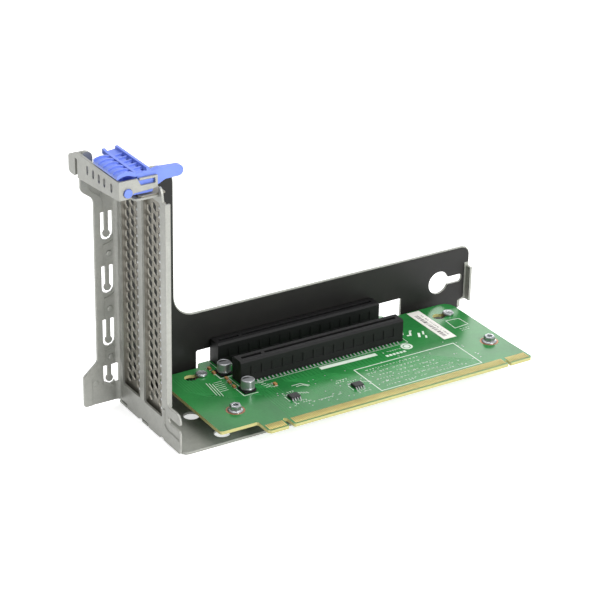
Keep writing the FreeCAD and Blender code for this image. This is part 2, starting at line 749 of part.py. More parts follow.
def slot_connector(row):
    """Moulded card connector with its card slot, key and side pockets."""
    low = board_top + connector_base
    high = board_top + connector_height
    half = connector_width / 2
    section = [
        (row - half, low, 0), (row + half, low, 0), (row + half, high - 0.8), (row + half - 0.8, high),
        (row - half + 0.8, high), (row - half, high - 0.8),
    ]
    body = slab("YZ", section, connector_left, connector_right)
    slot_left_end = connector_left + card_slot_margin
    slot_right_end = connector_right - card_slot_margin
    floor = high - card_slot_depth
    spans = [(slot_left_end, key_position - key_width / 2), (key_position + key_width / 2, slot_right_end)]
    for start, finish in spans:
        body = body.cut(box((start, row - card_slot / 2, floor), (finish, row + card_slot / 2, high + 1)))
    for side in (-1, 1):
        face = row + side * half
        x = connector_left + pocket_gap
        while x + pocket_pitch - pocket_gap < connector_right:
            edges = sorted((face - side * pocket_depth, face + side))
            body = body.cut(box((x, edges[0], board_top + pocket_low),
                                (x + pocket_pitch - pocket_gap, edges[1], board_top + pocket_high)))
            x += pocket_pitch
    nose = slab("XZ", [
        (connector_right - 0.2, board_top + 6.0), (connector_right + 1.2, board_top + 6.6),
        (connector_right + 1.2, board_top + 9.0), (connector_right - 0.2, board_top + 10.2),
    ], row - 1.6, row + 1.6)
    foot_starts = (connector_left, connector_right - 2.0)
    feet = [box((x, row - half, board_top), (x + 2.0, row + half, low)) for x in foot_starts]
    return body.fuse([nose] + feet).removeSplitter()


def connector_tails(row):
    """Solder tails along both sides of a card connector, sloping from the body to the board."""
    half = connector_width / 2
    tails = []
    for side in (-1, 1):
        root = row + side * (half - 0.4)
        for i in range(tail_count):
            x = connector_left + 2.6 + i * tail_pitch
            tails.append(slab("YZ", [
                (root, board_top), (row + side * (half + tail_reach), board_top),
                (root, board_top + tail_height),
            ], x, x + tail_width))
    return Part.makeCompound(tails)


def capacitor_can(x, y):
    """Aluminium can with a chamfered rim."""
    low = board_top + can_base
    high = board_top + can_height
    rings = []
    for radius, z in ((can_radius, low), (can_radius, high - can_rim), (can_radius - can_rim, high)):
        rings.append(outline("XY", ring_points(x, y, radius, can_sides), z))
    return Part.makeLoft(rings, True, True)


def capacitor_foot(x, y):
    """Moulded square foot of a capacitor, two corners cut."""
    side = can_radius + 0.15
    return slab("XY", [
        (x - side, y - side), (x + side - 1.2, y - side), (x + side, y - side + 1.2),
        (x + side, y + side - 1.2), (x + side - 1.2, y + side), (x - side, y + side),
    ], board_top, board_top + can_base)


def chip_body(x, y):
    """Small moulded circuit package with drafted sides."""
    rings = []
    for inset, z in ((0.15, chip_lift), (0.0, (chip_lift + chip_height) / 2), (0.2, chip_height)):
        a = chip_length / 2 - inset
        b = chip_width / 2 - inset
        corners = [(x - a, y - b), (x + a, y - b), (x + a, y + b), (x - a, y + b)]
        rings.append(outline("XY", corners, board_top + z))
    return Part.makeLoft(rings, True, True)


def chip_leads(x, y):
    """Sloping leads along a package's two long sides."""
    leads = []
    middle = board_top + (chip_lift + chip_height) / 2
    for side in (-1, 1):
        root = y + side * chip_width / 2
        toe = root + side * lead_reach
        for i in range(4):
            left = x + (i - 1.5) * lead_pitch - lead_width / 2
            leads.append(slab("YZ", [
                (root, middle - 0.15), (root, middle + 0.15), (toe, board_top),
            ], left, left + lead_width))
    return leads


def board_screw(x, y):
    """Hex-head screw with a flange, driven into a standoff."""
    flange = prism("XY", x, y, screw_flange, 14, board_top, board_top + 0.8)
    head = prism("XY", x, y, screw_head, 6, board_top + 0.7, board_top + 2.9, 15.0)
    recess = prism("XY", x, y, 1.3, 6, board_top + 2.0, board_top + 4, 15.0)
    shank = prism("XY", x, y, screw_radius, 8, board_under - 5.0, board_top + 0.1)
    return flange.fuse([head, shank]).cut(recess)


def board_standoff(x, y):
    """Hexagonal standoff riveted to the base."""
    body = prism("XY", x, y, 3.0, 6, base_sheet, board_under)
    return body.cut(prism("XY", x, y, screw_radius + seat_gap, 8, base_sheet + 0.6, board_under + 1))


def board_stud(x, y):
    """Stud riveted to the base: a post under the board, a neck and a head above it."""
    post = prism("XY", x, y, 3.1, 12, base_sheet, board_under)
    neck = prism("XY", x, y, keyway_slot - 0.15, 8, board_under, board_top + 0.3)
    head = prism("XY", x, y, stud_head, 14, board_top + 0.15, board_top + 1.4)
    return post.fuse([neck, head])


def passives():
    """Chip capacitors and resistors."""
    long, wide, tall = passive_size
    return Part.makeCompound([
        box((x - wide / 2, y - long / 2, board_top), (x + wide / 2, y + long / 2, board_top + tall))
        for x, y in passive_spots
    ])


def board_label():
    """Plain printed label on the board."""
    x, y, width, length = label_box
    return box((x, y, board_top), (x + width, y + length, board_top + label_thick))


write("carrier_base", carrier_base())
write("riser_bracket", riser_bracket())
write("insulator_film", insulator_film())
write("end_frame", end_frame())
write("latch_bracket", latch_bracket())
write("retention_latch", retention_latch())
write("slot_cover_left", slot_cover(connector_rows[1]))
write("slot_cover_right", slot_cover(connector_rows[0]))
write("riser_board", riser_board())
write("edge_contacts_top", edge_contacts(board_top))
write("slot_connector_front", slot_connector(connector_rows[0]))
write("slot_connector_rear", slot_connector(connector_rows[1]))
write("connector_tails_front", connector_tails(connector_rows[0]))
write("connector_tails_rear", connector_tails(connector_rows[1]))
write("capacitor_cans", Part.makeCompound([capacitor_can(x, y) for x, y in can_spots]))
write("capacitor_feet", Part.makeCompound([capacitor_foot(x, y) for x, y in can_spots]))
write("circuit_chips", Part.makeCompound([chip_body(x, y) for x, y in chip_spots]))
write("chip_leads", Part.makeCompound([lead for x, y in chip_spots for lead in chip_leads(x, y)]))
write("chip_passives", passives())
write("board_screws", Part.makeCompound([board_screw(x, y) for x, y in screw_spots]))
write("board_standoffs", Part.makeCompound([board_standoff(x, y) for x, y in screw_spots]))
write("board_studs", Part.makeCompound([board_stud(x, y) for x, y in stud_spots]))
write("board_label", board_label())
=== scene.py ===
import math
import random
import bmesh
import bpy
from mathutils import Euler, Matrix, Vector


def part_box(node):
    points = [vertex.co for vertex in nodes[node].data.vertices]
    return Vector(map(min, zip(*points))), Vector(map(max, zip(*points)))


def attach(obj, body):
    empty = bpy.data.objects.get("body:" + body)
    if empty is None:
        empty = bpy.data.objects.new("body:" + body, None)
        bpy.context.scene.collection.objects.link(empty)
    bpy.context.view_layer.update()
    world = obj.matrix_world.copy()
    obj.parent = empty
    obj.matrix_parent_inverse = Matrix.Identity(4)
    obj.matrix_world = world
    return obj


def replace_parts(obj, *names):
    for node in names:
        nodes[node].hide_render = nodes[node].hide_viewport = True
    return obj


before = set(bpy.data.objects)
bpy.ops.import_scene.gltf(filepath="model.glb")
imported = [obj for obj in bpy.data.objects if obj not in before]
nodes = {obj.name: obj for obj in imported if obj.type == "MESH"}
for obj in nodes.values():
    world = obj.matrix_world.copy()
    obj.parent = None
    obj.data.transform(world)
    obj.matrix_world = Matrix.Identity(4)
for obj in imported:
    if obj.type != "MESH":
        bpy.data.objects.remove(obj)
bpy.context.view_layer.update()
print("frame loaded:", len(nodes), "nodes")


# node helpers: a socket given as a value is linked, any other value is set
def setInputs(tree, node, inputs):
    for key, value in inputs.items():
        if isinstance(value, bpy.types.NodeSocket):
            tree.links.new(value, node.inputs[key])
        else:
            node.inputs[key].default_value = value


def addNode(tree, kind, inputs=None, **settings):
    node = tree.nodes.new(kind)
    for key, value in settings.items():
        setattr(node, key, value)
    setInputs(tree, node, inputs or {})
    return node


def calculate(tree, operation, *values):
    return addNode(tree, "ShaderNodeMath", dict(enumerate(values)), operation=operation).outputs["Value"]


def remap(tree, value, low, high, toLow, toHigh):
    return addNode(tree, "ShaderNodeMapRange", {
        "Value": value, "From Min": low, "From Max": high, "To Min": toLow, "To Max": toHigh,
    }).outputs["Result"]


def ramp(tree, factor, stops):
    node = addNode(tree, "ShaderNodeValToRGB", {"Fac": factor})
    for element, (position, color) in zip(node.color_ramp.elements, stops):
        element.position = position
        element.color = color
    return node.outputs["Color"]


def mixColor(tree, factor, first, second):
    colorSockets = {0: factor, 6: first, 7: second}  # the colour pair sits at 6 and 7 of this node
    return addNode(tree, "ShaderNodeMix", colorSockets, data_type="RGBA").outputs[2]


def noise(tree, vector, scale, detail=3.0, roughness=0.5):
    return addNode(tree, "ShaderNodeTexNoise", {
        "Vector": vector, "Scale": scale, "Detail": detail, "Roughness": roughness,
    }).outputs["Fac"]


def rgb(*channels):  # screen colour, 0 to 255, as linear light
    linear = [c / 255 / 12.92 if c <= 10 else ((c / 255 + 0.055) / 1.055) ** 2.4 for c in channels]
    return (*linear, 1.0)


def newMaterial(name):
    material = bpy.data.materials.new(name)
    material.use_nodes = True
    tree = material.node_tree
    return material, tree, tree.nodes["Principled BSDF"]


def objectPlace(tree):
    return tree.nodes.new("ShaderNodeTexCoord").outputs["Object"]


# effects that several finishes share, each a group with named sockets
def newGroup(name, inputs, outputs):
    group = bpy.data.node_groups.new(name, "ShaderNodeTree")
    for side, sockets in (("INPUT", inputs), ("OUTPUT", outputs)):
        for label, kind in sockets.items():
            group.interface.new_socket(name=label, in_out=side, socket_type="NodeSocket" + kind)
    given = group.nodes.new("NodeGroupInput").outputs
    result = group.nodes.new("NodeGroupOutput")
    return group, given, result


def makeGrain():
    group, given, result = newGroup("patchAndGrain", {
        "Place": "Vector", "Patch Scale": "Float", "Patch Roughness": "Float",
        "Grain Scale": "Float", "Grain Detail": "Float",
    }, {"Patch": "Float", "Grain": "Float"})
    setInputs(group, result, {
        "Patch": noise(group, given["Place"], given["Patch Scale"], roughness=given["Patch Roughness"]),
        "Grain": noise(group, given["Place"], given["Grain Scale"], given["Grain Detail"]),
    })
    return group


def makeRoundedEdge():
    group, given, result = newGroup("roundedEdge", {
        "Radius": "Float", "Height": "Float", "Strength": "Float", "Distance": "Float",
    }, {"Normal": "Vector"})
    rounded = addNode(group, "ShaderNodeBevel", {"Radius": given["Radius"]}, samples=4)
    bumped = addNode(group, "ShaderNodeBump", {
        "Height": given["Height"], "Strength": given["Strength"], "Distance": given["Distance"],
        "Normal": rounded.outputs["Normal"],
    })
    setInputs(group, result, {"Normal": bumped.outputs["Normal"]})
    return group


grainGroup = makeGrain()
edgeGroup = makeRoundedEdge()


def addGrain(tree, place, patchScale, grainScale, grainDetail=2.0, patchRoughness=0.5):
    made = addNode(tree, "ShaderNodeGroup", {
        "Place": place, "Patch Scale": patchScale, "Patch Roughness": patchRoughness,
        "Grain Scale": grainScale, "Grain Detail": grainDetail,
    }, node_tree=grainGroup)
    return made.outputs["Patch"], made.outputs["Grain"]


def addEdge(tree, radius, height, strength, distance):
    return addNode(tree, "ShaderNodeGroup", {
        "Radius": radius, "Height": height, "Strength": strength, "Distance": distance,
    }, node_tree=edgeGroup).outputs["Normal"]


# finishes; edge radii and bump depths in metres
steel = {
    "patchScale": 34.0, "patchRoughness": 0.55, "grainScale": 1500.0, "grainDetail": 3.0,
    "speckScale": 420.0, "speckDetail": 2.0, "speckRoughness": 0.7,
    "patchShare": 0.5, "speckShare": 0.3, "grainShare": 0.2,
    "darkAt": 0.3, "lightAt": 0.7, "roughBetween": (0.3, 0.8), "roughnessSpread": 0.06,
    "edge": 0.00035, "bump": 0.15, "bumpDepth": 0.00003,
}


def sheetSteel(name, dark, light, roughness, metallic=0.6):
    material, tree, shader = newMaterial(name)
    place = objectPlace(tree)
    patch, grain = addGrain(tree, place, steel["patchScale"], steel["grainScale"],
                            steel["grainDetail"], steel["patchRoughness"])
    speck = noise(tree, place, steel["speckScale"], steel["speckDetail"], steel["speckRoughness"])
    tone = calculate(tree, "MULTIPLY", patch, steel["patchShare"])
    tone = calculate(tree, "MULTIPLY_ADD", speck, steel["speckShare"], tone)
    tone = calculate(tree, "MULTIPLY_ADD", grain, steel["grainShare"], tone)
    spread = steel["roughnessSpread"]
    setInputs(tree, shader, {
        "Base Color": ramp(tree, tone, [(steel["darkAt"], dark), (steel["lightAt"], light)]),
        "Roughness": remap(tree, tone, *steel["roughBetween"], roughness + spread, roughness - spread),
        "Normal": addEdge(tree, steel["edge"], grain, steel["bump"], steel["bumpDepth"]),
        "Metallic": metallic,
    })
    return material


weaveSheet = {
    "patchScale": 38.0, "weaveScale": 900.0, "weaveShare": 0.25, "darkAt": 0.45, "lightAt": 0.85,
    "flatFrom": (0.45, 0.55), "cutEdgeRoughness": 0.7, "ior": 1.55,
    "edge": 0.00012, "bump": 0.05, "bumpDepth": 0.00002,
}


def laminate(name, dark, light, cutEdge, roughness):
    material, tree, shader = newMaterial(name)
    normal = tree.nodes.new("ShaderNodeTexCoord").outputs["Normal"]
    upward = addNode(tree, "ShaderNodeSeparateXYZ", {"Vector": normal}).outputs["Z"]
    level = calculate(tree, "ABSOLUTE", upward)
    flat = remap(tree, level, *weaveSheet["flatFrom"], 0.0, 1.0)  # 1 on the faces, 0 on the cut edges
    patch, weave = addGrain(tree, objectPlace(tree), weaveSheet["patchScale"], weaveSheet["weaveScale"])
    tone = calculate(tree, "MULTIPLY_ADD", weave, weaveSheet["weaveShare"], patch)
    mask = ramp(tree, tone, [(weaveSheet["darkAt"], dark), (weaveSheet["lightAt"], light)])
    setInputs(tree, shader, {
        "Base Color": mixColor(tree, flat, cutEdge, mask),
        "Roughness": remap(tree, flat, 0.0, 1.0, weaveSheet["cutEdgeRoughness"], roughness),
        "Normal": addEdge(tree, weaveSheet["edge"], weave, weaveSheet["bump"], weaveSheet["bumpDepth"]),
        "IOR": weaveSheet["ior"],
    })
    return material


plastic = {
    "patchScale": 90.0, "grainScale": 2600.0, "darkAt": 0.3, "lightAt": 0.7, "roughBetween": (0.3, 0.7),
    "roughnessSpread": 0.06, "edge": 0.0002, "bumpDepth": 0.00003,
}


def moulded(name, dark, light, roughness, bump=0.2, specular=0.5):
    material, tree, shader = newMaterial(name)
    patch, grain = addGrain(tree, objectPlace(tree), plastic["patchScale"], plastic["grainScale"])
    spread = plastic["roughnessSpread"]
    setInputs(tree, shader, {
        "Base Color": ramp(tree, patch, [(plastic["darkAt"], dark), (plastic["lightAt"], light)]),
        "Roughness": remap(tree, grain, *plastic["roughBetween"], roughness - spread, roughness + spread),
        "Normal": addEdge(tree, plastic["edge"], grain, bump, plastic["bumpDepth"]),
        "Specular IOR Level": specular,
    })
    return material


materials = {
    "galvanised": sheetSteel("galvanisedSteel", rgb(142, 144, 137), rgb(172, 174, 166), 0.38, 0.3),
    "frame": sheetSteel("frameSteel", rgb(148, 149, 143), rgb(178, 179, 172), 0.36, 0.25),
    "cover": sheetSteel("coverSteel", rgb(118, 115, 106), rgb(148, 145, 135), 0.34, 0.4),
    "blue": moulded("latchBlue", rgb(108, 132, 224), rgb(119, 144, 235), 0.36),
    "black": moulded("connectorBlack", rgb(9, 9, 10), rgb(15, 15, 16), 0.55, specular=0.32),
    "film": moulded("insulatingFilm", rgb(27, 27, 26), rgb(31, 31, 29), 0.4, bump=0.02, specular=0.3),
    "board": laminate("boardGreen", rgb(26, 106, 48), rgb(42, 132, 62), rgb(190, 186, 122), 0.2),
    "gold": sheetSteel("contactGold", rgb(182, 152, 82), rgb(222, 202, 134), 0.34, 0.8),
    "tin": sheetSteel("tinnedMetal", rgb(176, 178, 178), rgb(216, 218, 218), 0.32),
    "can": sheetSteel("canAluminium", rgb(150, 152, 155), rgb(196, 198, 201), 0.3, 0.8),
    "chip": moulded("packageBlack", rgb(22, 22, 24), rgb(34, 34, 36), 0.45),
    "ceramic": moulded("ceramicChip", rgb(140, 96, 52), rgb(176, 128, 78), 0.5),
    "copper": sheetSteel("ringCopper", rgb(146, 96, 70), rgb(182, 128, 98), 0.4, 0.5),
    "plated": sheetSteel("platedSteel", rgb(140, 144, 146), rgb(198, 202, 204), 0.26, 0.85),
    "trace": moulded("boardTrace", rgb(44, 136, 66), rgb(58, 152, 80), 0.2),
    "silk": moulded("silkPrint", rgb(206, 222, 206), rgb(228, 236, 226), 0.55),
    "ink": moulded("printInk", rgb(96, 90, 92), rgb(120, 112, 114), 0.6),
    "dark": moulded("darkPrint", rgb(34, 34, 37), rgb(46, 46, 49), 0.5),
    "paper": moulded("labelPaper", rgb(222, 220, 212), rgb(234, 232, 226), 0.6),
}

finishes = {
    "riser_bracket": "galvanised", "carrier_base": "galvanised", "insulator_film": "film",
    "end_frame": "frame", "latch_bracket": "frame", "retention_latch": "blue",
    "slot_cover_left": "cover", "slot_cover_right": "cover", "riser_board": "board",
    "edge_contacts_top": "gold", "slot_connector_front": "black", "slot_connector_rear": "black",
    "connector_tails_front": "tin", "connector_tails_rear": "tin", "capacitor_cans": "can",
    "capacitor_feet": "black", "circuit_chips": "chip", "chip_leads": "tin",
    "chip_passives": "ceramic", "board_screws": "plated", "board_standoffs": "plated",
    "board_studs": "plated", "board_label": "paper",
}
for name, node in nodes.items():
    node.data.materials.clear()
    node.data.materials.append(materials[finishes[name]])
print("finishes assigned")


# places in millimetres from the board's datum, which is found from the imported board
mm = 0.001
board = {"endToDatum": 16.8, "backToDatum": 23.8}
boardLow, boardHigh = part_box("riser_board")
datum = Vector((boardLow.x - board["endToDatum"] * mm, boardHigh.y - board["backToDatum"] * mm, 0.0))
boardTop, boardUnder = boardHigh.z / mm, boardLow.z / mm
weldDistance = 0.0001 * mm
rowGap = 20.32  # between the two card connectors
plateFace = 24.1  # front of the flange plate
coverFace = 1.06  # face of the slot covers that their bumps stand on
connectorRows = (0.0, rowGap)
circuits = ((60.7, -26.1), (91.0, -31.1))
screwPlaces = ((32.3, -23.2), (169.4, -23.9))
canPlaces = ((46.6, -9.6), (45.6, 9.9))


def at(x, y, z):
    return Vector((datum.x + x * mm, datum.y + y * mm, z * mm))


def onPlate(x, y, z):  # drawn on the flange plate, raised towards the front
    return at(x, plateFace - z, y)


def onCover(x, y, z):  # drawn on a slot cover, raised away from the board
    return at(coverFace - z, x, y)


def makeObject(name, mesh, material):
    data = bpy.data.meshes.new(name)
    mesh.to_mesh(data)
    mesh.free()
    data.materials.append(material)
    made = bpy.data.objects.new(name, data)
    bpy.context.scene.collection.objects.link(made)
    return made


def makePiece(name, mesh, finish):
    bmesh.ops.remove_doubles(mesh, verts=mesh.verts, dist=weldDistance)
    bmesh.ops.recalc_face_normals(mesh, faces=mesh.faces)
    piece = makeObject(name, mesh, materials[finish])
    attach(piece, "frame")
    return piece


# shapes: each is made by an operator, grown from a face or a line, or created whole as a box
def growFace(mesh, face):  # with its edges given, only a first face stays behind as the end cap
    grown = bmesh.ops.extrude_face_region(mesh, geom=[face, *face.edges])["geom"]
    return next(part for part in grown if isinstance(part, bmesh.types.BMFace))


def addPrism(mesh, corners, low, high, place=at):
    outline = mesh.faces.new([mesh.verts.new(place(x, y, low)) for x, y in corners])
    top = growFace(mesh, outline).verts
    bmesh.ops.translate(mesh, verts=top, vec=place(0, 0, high) - place(0, 0, low))
    return top


def addBlock(mesh, x, y, long, wide, low, high, turn=0.0):
    size = Vector((long, wide, high - low)) * mm
    turned = Euler((0.0, 0.0, math.radians(turn)))
    placed = Matrix.LocRotScale(at(x, y, (low + high) / 2), turned, size)
    bmesh.ops.create_cube(mesh, size=1.0, matrix=placed)


def mitre(points, i, width):  # half the ribbon's width across the corner at point i
    stretch = points[max(i - 1, 0):i + 2]
    normals = [Vector((a[1] - b[1], b[0] - a[0])).normalized() for a, b in zip(stretch, stretch[1:])]
    mean = sum(normals, Vector((0.0, 0.0))) / len(normals)
    return width / 2 * mean / mean.length_squared


def addRibbon(mesh, points, width, low, high, place=at):
    end = None
    for i, point in enumerate(points):
        across = mitre(points, i, width)
        left, right = Vector(point) + across, Vector(point) - across
        corners = [place(*left, low), place(*right, low), place(*right, high), place(*left, high)]
        if end is None:
            end = mesh.faces.new([mesh.verts.new(corner) for corner in corners])
        else:
            end = growFace(mesh, end)
            for vertex, corner in zip(end.verts, corners):
                vertex.co = corner


def addTurned(mesh, x, y, profile, sides=48, base=0.0, place=at):
    line = [mesh.verts.new(place(x + radius, y, base + height)) for radius, height in profile]
    edges = [mesh.edges.new(pair) for pair in zip(line, line[1:])]
    axis = place(0, 0, 1) - place(0, 0, 0)
    bmesh.ops.spin(mesh, geom=line + edges, cent=place(x, y, base), axis=axis.normalized(),
                   angle=2 * math.pi, steps=sides, use_merge=True)


def addDisc(mesh, x, y, radius, low, high, sides):
    addTurned(mesh, x, y, [(0.0, high), (radius, high), (radius, low), (0.0, low)], sides)


def addRing(mesh, x, y, inner, outer, low, high, sides):
    addTurned(mesh, x, y, [(inner, high), (outer, high), (outer, low), (inner, low), (inner, high)], sides)


def addCapped(mesh, x, y, rings, sides=48):  # a capped circle carried through rings of any outline
    centre = at(x, y, 0.0)
    circle = bmesh.ops.create_circle(mesh, cap_ends=True, segments=sides, radius=mm,
                                     matrix=Matrix.Translation(centre))
    end = circle["verts"][0].link_faces[0]
    for step, (height, outline) in enumerate(rings):
        if step:
            end = growFace(mesh, end)
        for vertex in end.verts:
            away = vertex.co - centre
            angle = math.atan2(away.y, away.x)
            radius = outline(angle)
            vertex.co = at(x + radius * math.cos(angle), y + radius * math.sin(angle), height)


# solder mask artwork: copper runs, silk lines and pads, each layer's low and high over the board
layers = {"trace": (0.0, 0.018), "pad": (0.0, 0.03), "silk": (0.012, 0.034)}
layers = {name: (boardTop + low, boardTop + high) for name, (low, high) in layers.items()}
random.seed(7)

runs = {
    "first": 49.0, "pitch": 2.0, "count": 42, "pairGap": 0.62, "width": 0.32,
    "tailEdge": -4.9, "contactEdge": -40.6, "firstDrop": -9.0, "dropStep": 0.22,
    "fanStart": 50.2, "fan": 1.27, "reach": 21.0, "slope": 0.85, "clearOfCircuit": 4.6,
}
cornerRuns = {  # each point of the first run, and its step from run to run
    "count": 7, "width": 0.3,
    "points": (((22.0, 15.0), (1.3, -0.6)), ((22.0, 2.0), (1.3, -1.0)), ((28.0, -6.0), (1.3, -1.0)),
               ((40.0, -8.0), (1.1, -1.1)), ((54.0, -14.5), (0.0, -1.1))),
}
traces = bmesh.new()
for i in range(runs["count"]):
    drop = runs["firstDrop"] - runs["dropStep"] * i
    for shift in (0.0, runs["pairGap"]):
        start = runs["first"] + i * runs["pitch"] + shift
        if any(abs(start - x) < runs["clearOfCircuit"] for x, y in circuits):
            continue
        fanned = runs["fanStart"] + (start - runs["first"]) * runs["fan"] + shift - start
        reach = min(abs(fanned), runs["reach"])
        end = start + math.copysign(reach, fanned)
        addRibbon(traces, [
            (start, runs["tailEdge"]), (start, drop), (end, drop - reach * runs["slope"]),
            (end, runs["contactEdge"]),
        ], runs["width"], *layers["trace"])
for k in range(cornerRuns["count"]):
    points = [(x + k * stepX, y + k * stepY) for (x, y), (stepX, stepY) in cornerRuns["points"]]
    addRibbon(traces, points, cornerRuns["width"], *layers["trace"])
makePiece("boardTraces", traces, "trace")

silkLines = [  # points, width
    ([(98.2, -17.3), (98.2, -40.1), (153.4, -40.1), (153.4, -17.3), (98.2, -17.3), (98.2, -17.5)], 0.5),
    ([(164.0, 3.8), (171.0, 3.0), (171.5, -4.0), (163.4, -4.8), (164.0, 3.8), (164.2, 3.8)], 0.36),
    ([(65.5, -16.2), (70.0, -16.2), (73.0, -19.6)], 0.36),
    ([(67.0, -17.8), (70.4, -17.8), (72.2, -20.0)], 0.36),
]
connectorFrame = {"left": 45.0, "right": 135.6, "below": -6.0, "above": 6.1, "width": 0.26}
canCorner = {"back": 4.2, "reach": 3.0, "width": 0.4}
circuitEnd = {"back": 3.4, "half": 2.4, "width": 0.36}
cornerLines = {"count": 3, "top": (33.4, 5.0), "foot": (32.0, -7.5), "step": (1.1, -1.0), "width": 0.3}
for row in connectorRows:
    low, high = row + connectorFrame["below"], row + connectorFrame["above"]
    left, right = connectorFrame["left"], connectorFrame["right"]
    silkLines.append(([(left, high), (left, low), (right, low), (right, high)], connectorFrame["width"]))
for x, y in canPlaces:
    back, reach = canCorner["back"], canCorner["reach"]
    points = [(x - back, y + reach), (x - back, y - back), (x + reach, y - back)]
    silkLines.append((points, canCorner["width"]))
for x, y in circuits:
    x -= circuitEnd["back"]
    silkLines.append(([(x, y - circuitEnd["half"]), (x, y + circuitEnd["half"])], circuitEnd["width"]))
for k in range(cornerLines["count"]):
    step = Vector(cornerLines["step"]) * k
    ends = [tuple(Vector(cornerLines[end]) + step) for end in ("top", "foot")]
    silkLines.append((ends, cornerLines["width"]))

silkBars = [  # x, y, length, width, turn in degrees
    (138.6, 3.4, 4.2, 1.1, 62), (141.4, 0.6, 3.6, 1.0, 62), (144.4, -2.4, 4.4, 1.2, 62),
    (139.6, -0.4, 1.3, 1.1, 0), (143.0, 3.0, 1.4, 1.0, 30), (146.4, -5.4, 2.6, 0.9, 62),
    (147.4, -1.4, 3.4, 0.9, 62),
]
barRows = [  # count, first bar's x and y, step from bar to bar, length, width, turn
    (5, (55.2, -4.9), (0.2, -1.7), 2.4, 0.26, 0), (6, (38.6, 3.4), (-0.3, -1.7), 4.2, 0.26, 0),
    (6, (119.4, -13.0), (1.9, 0.0), 1.4, 1.6, 8),
]
barRows += [(4, (x + 4.4, y + 2.6), (1.1, -0.5), 0.28, 1.7, 20) for x, y in circuits]
for count, (x, y), (stepX, stepY), long, wide, turn in barRows:
    silkBars += [(x + k * stepX, y + k * stepY, long, wide, turn) for k in range(count)]

framedRows = {"count": 6, "first": (100.6, -20.2), "step": (0.5, -3.3), "length": 30.0, "longer": 2.2}
dashRows = []  # x, y, length, rows, length of a dash, gap
for k in range(framedRows["count"]):
    (x, y), (stepX, stepY) = framedRows["first"], framedRows["step"]
    length = framedRows["length"] + k * framedRows["longer"]
    dashRows.append((x + k * stepX, y + k * stepY, length, 1, 1.0, 0.8))
dashRows.append((164.8, -6.6, 5.5, 2, 0.8, 0.5))
for x, y in circuits:
    dashRows += [(x - 3.0, y + 5.6, 5.5, 2, 0.8, 0.5), (x - 2.6, y - 4.0, 6.5, 2, 0.8, 0.5)]
dashRows += [
    (57.0, -9.4, 2.4, 3, 0.7, 0.4), (66.0, -33.4, 14.0, 1, 1.2, 0.3), (54.0, -33.0, 3.0, 1, 0.9, 0.5),
    (84.0, -22.4, 6.5, 2, 0.8, 0.5), (119.0, -9.4, 10.0, 1, 1.0, 0.4),
]
dashes = {"rowSpacing": 1.6, "lengths": (0.6, 1.0, 1.0, 1.5), "width": 0.3, "kept": 0.85,
          "footed": 0.55, "footDrop": 0.35, "foot": (0.26, 0.8)}
silkMark = {"x": 132.6, "y": -9.3, "disc": 1.5, "inner": 1.9, "outer": 2.9, "discSides": 32, "ringSides": 40}
silkPatch = [(85.6, -6.9), (85.6, -9.5), (115.9, -10.3), (115.9, -7.7)]


def addDashes(mesh, x, y, along, rows, dash, gap):
    for row in range(rows):
        middle = y - row * dashes["rowSpacing"]
        reached = 0.0
        while reached < along:
            size = dash * random.choice(dashes["lengths"])
            if random.random() < dashes["kept"]:
                centre = x + reached + size / 2
                addBlock(mesh, centre, middle, size, dashes["width"], *layers["silk"])
                if random.random() < dashes["footed"]:
                    addBlock(mesh, centre, middle - dashes["footDrop"], *dashes["foot"], *layers["silk"])
            reached += size + gap


silk = bmesh.new()
for points, width in silkLines:
    addRibbon(silk, points, width, *layers["silk"])
for x, y, long, wide, turn in silkBars:
    addBlock(silk, x, y, long, wide, *layers["silk"], turn)
for settings in dashRows:
    addDashes(silk, *settings)
addPrism(silk, silkPatch, *layers["silk"])
x, y = silkMark["x"], silkMark["y"]
addDisc(silk, x, y, silkMark["disc"], *layers["silk"], silkMark["discSides"])
addRing(silk, x, y, silkMark["inner"], silkMark["outer"], *layers["silk"], silkMark["ringSides"])
makePiece("boardSilk", silk, "silk")

padRings = {"inner": 2.0, "outer": 4.35, "sides": 48}
ringPads = bmesh.new()
for x, y in screwPlaces:
    addRing(ringPads, x, y, padRings["inner"], padRings["outer"], *layers["pad"], padRings["sides"])
makePiece("ringPads", ringPads, "copper")

leadPitch = 1.27
tailShift = 0.15
leadPlaces = [(x + (i - 1.5) * leadPitch, y) for x, y in circuits for i in range(4)]
passivePlaces = [(41.6, 16.4), (43.6, 4.1), (42.9, 0.1), (42.6, -4.3), (59.8, -11.4), (41.3, 11.8)]
tailXs = [runs["first"] + tailShift + runs["pitch"] * i for i in range(runs["count"])]
pairPads = {  # a pad on each side of every place
    "lead": {"places": leadPlaces, "away": 2.9, "size": (0.6, 1.5)},
    "passive": {"places": passivePlaces, "away": 1.15, "size": (1.5, 1.0)},
    "tail": {"places": [(x, row) for row in connectorRows for x in tailXs], "away": 4.6, "size": (0.8, 1.4)},
}
vias = {"count": 70, "x": (52, 160), "y": (-38, -14), "radius": 0.32, "sides": 10}
pads = bmesh.new()
for pair in pairPads.values():
    for x, y in pair["places"]:
        for side in (-1, 1):
            addBlock(pads, x, y + side * pair["away"], *pair["size"], *layers["pad"])
for k in range(vias["count"]):
    x, y = random.uniform(*vias["x"]), random.uniform(*vias["y"])
    addDisc(pads, x, y, vias["radius"], *layers["pad"], vias["sides"])
makePiece("boardPads", pads, "tin")
print("board artwork made")

